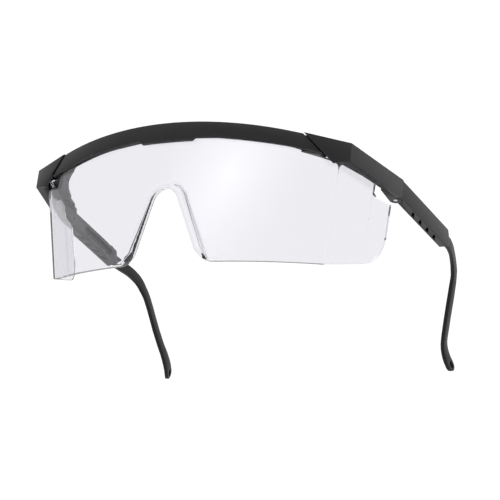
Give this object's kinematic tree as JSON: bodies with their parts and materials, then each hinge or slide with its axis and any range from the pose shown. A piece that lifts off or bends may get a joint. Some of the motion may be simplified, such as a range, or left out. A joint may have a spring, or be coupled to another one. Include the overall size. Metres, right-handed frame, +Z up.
{
  "type": "safety glasses",
  "caption": "Wrap-around safety glasses: clear one-piece visor with side shields, nylon brow bar, tilting corner arms, folding temples with length-adjustable ear hooks.",
  "frame": {"origin": "middle of the bounding box in plan, on the plane that the temple tips and the lens's foot stand on", "axes": "+X to the wearer's left, +Y from the lens back towards the ears, +Z up; the wearer looks along -Y"},
  "size_m": [0.1692, 0.1658, 0.0561],
  "materials": {
    "nylon": "fine moulded grain, dark charcoal",
    "polycarbonate": "clear, polished, hard coated",
    "steel": "plain drawn pin"
  },
  "bodies": {
    "front": {"brow_frame": "nylon", "lens": "polycarbonate"},
    "arm_left": {"side_arm_left": "nylon", "tilt_pin_left": "steel", "hinge_pin_left": "steel"},
    "temple_left": {"temple_sleeve_left": "nylon"},
    "hook_left": {"ear_hook_left": "nylon"},
    "arm_right": {"side_arm_right": "nylon", "tilt_pin_right": "steel", "hinge_pin_right": "steel"},
    "temple_right": {"temple_sleeve_right": "nylon"},
    "hook_right": {"ear_hook_right": "nylon"}
  },
  "joints": [
    {"name": "tilt_left", "type": "hinge", "parent": "front", "child": "arm_left", "pos_m": [0.066, -0.05956, 0.04756], "axis": [1, 0, 0], "range_deg": [-4, 4]},
    {"name": "fold_left", "type": "hinge", "parent": "arm_left", "child": "temple_left", "pos_m": [0.07714, -0.02179, 0.04567], "axis": [0, 0.0209, 0.9998], "range_deg": [0, 90]},
    {"name": "length_left", "type": "slide", "parent": "temple_left", "child": "hook_left", "axis": [0.0698, 0.9973, -0.0209], "range_m": [0, 0.0243]},
    {"name": "tilt_right", "type": "hinge", "parent": "front", "child": "arm_right", "pos_m": [-0.066, -0.05956, 0.04756], "axis": [1, 0, 0], "range_deg": [-4, 4]},
    {"name": "fold_right", "type": "hinge", "parent": "arm_right", "child": "temple_right", "pos_m": [-0.07714, -0.02179, 0.04567], "axis": [0, -0.0209, -0.9998], "range_deg": [0, 80]},
    {"name": "length_right", "type": "slide", "parent": "temple_right", "child": "hook_right", "axis": [-0.0698, 0.9973, -0.0209], "range_m": [0, 0.0243]}
  ]
}
